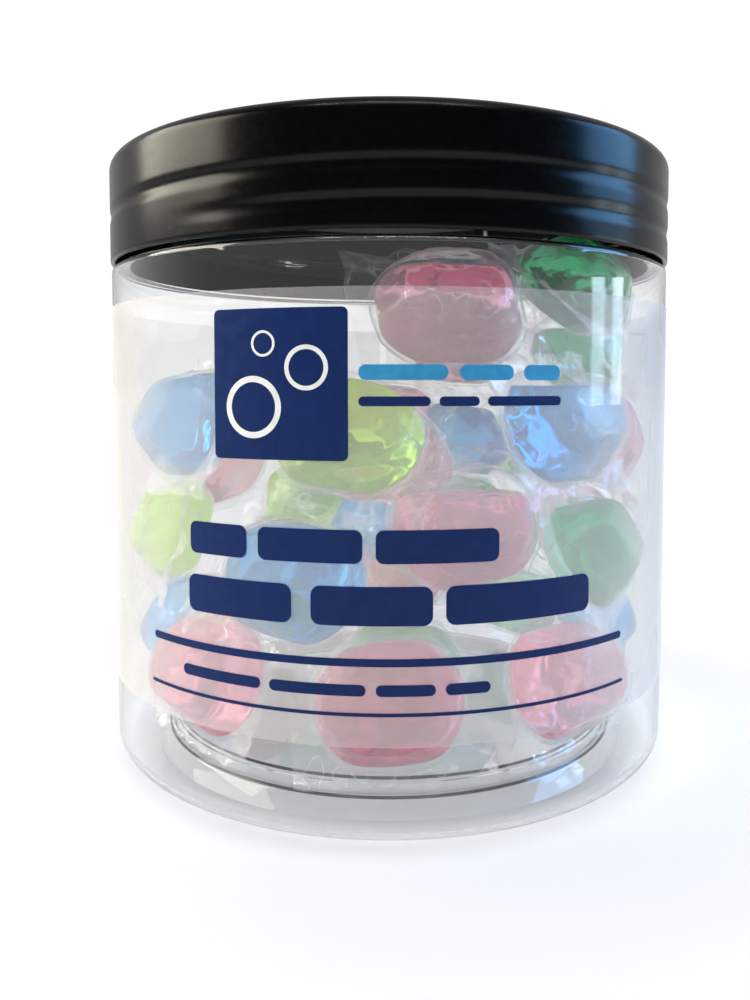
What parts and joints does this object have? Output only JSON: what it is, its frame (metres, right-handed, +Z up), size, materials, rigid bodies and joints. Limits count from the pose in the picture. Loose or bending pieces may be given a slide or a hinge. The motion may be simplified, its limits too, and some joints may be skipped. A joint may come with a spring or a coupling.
{
  "type": "laundry pod tub",
  "caption": "Clear round screw-top tub with a black rolled-thread metal lid, a foam liner and a wrap-round film label, filled with a loose heap of coloured laundry pods.",
  "frame": {"origin": "middle of the base, on the table", "axes": "+Z up through the lid, +Y away from the label's front, +X to the right seen from the front"},
  "size_m": [0.1004, 0.1004, 0.1027],
  "materials": {
    "clear_plastic": "clear gloss",
    "black_metal": "satin black",
    "foam": "fine foam",
    "milky_film": "milky see-through film, printed navy",
    "pod_pink": "clear gel in film",
    "pod_blue": "clear gel in film",
    "pod_green": "clear gel in film",
    "pod_lime": "clear gel in film"
  },
  "bodies": {
    "jar": {"jar": "clear_plastic", "label": "milky_film", "pod_01_pink": "pod_pink", "pod_02_pink": "pod_pink", "pod_03_pink": "pod_pink", "pod_04_blue": "pod_blue", "pod_05_green": "pod_green", "pod_06_lime": "pod_lime", "pod_07_pink": "pod_pink", "pod_08_blue": "pod_blue", "pod_09_green": "pod_green", "pod_10_blue": "pod_blue", "pod_11_pink": "pod_pink", "pod_12_lime": "pod_lime", "pod_13_green": "pod_green", "pod_14_pink": "pod_pink", "pod_15_blue": "pod_blue", "pod_16_green": "pod_green", "pod_17_pink": "pod_pink", "pod_18_pink": "pod_pink", "pod_19_lime": "pod_lime", "pod_20_blue": "pod_blue", "pod_21_blue": "pod_blue", "pod_22_pink": "pod_pink", "pod_23_lime": "pod_lime", "pod_24_pink": "pod_pink", "pod_25_blue": "pod_blue", "pod_26_blue": "pod_blue", "pod_27_pink": "pod_pink", "pod_28_green": "pod_green", "pod_29_green": "pod_green", "pod_30_pink": "pod_pink", "pod_31_green": "pod_green", "pod_32_lime": "pod_lime", "pod_33_pink": "pod_pink", "pod_34_blue": "pod_blue", "pod_35_pink": "pod_pink"},
    "liner": {"liner": "foam"},
    "lid": {"lid": "black_metal"}
  },
  "joints": [
    {"name": "lid_lift", "type": "slide", "parent": "jar", "child": "liner", "axis": [0, 0, 1], "range_m": [0, 0.02]},
    {"name": "lid_turn", "type": "hinge", "parent": "liner", "child": "lid", "pos_m": [0, 0, 0.0935], "axis": [0, 0, 1], "range_deg": [0, 1440]}
  ],
  "couplings": [
    {"joint": "lid_lift", "follows": "lid_turn", "m_per_rad": 0.00079577}
  ]
}
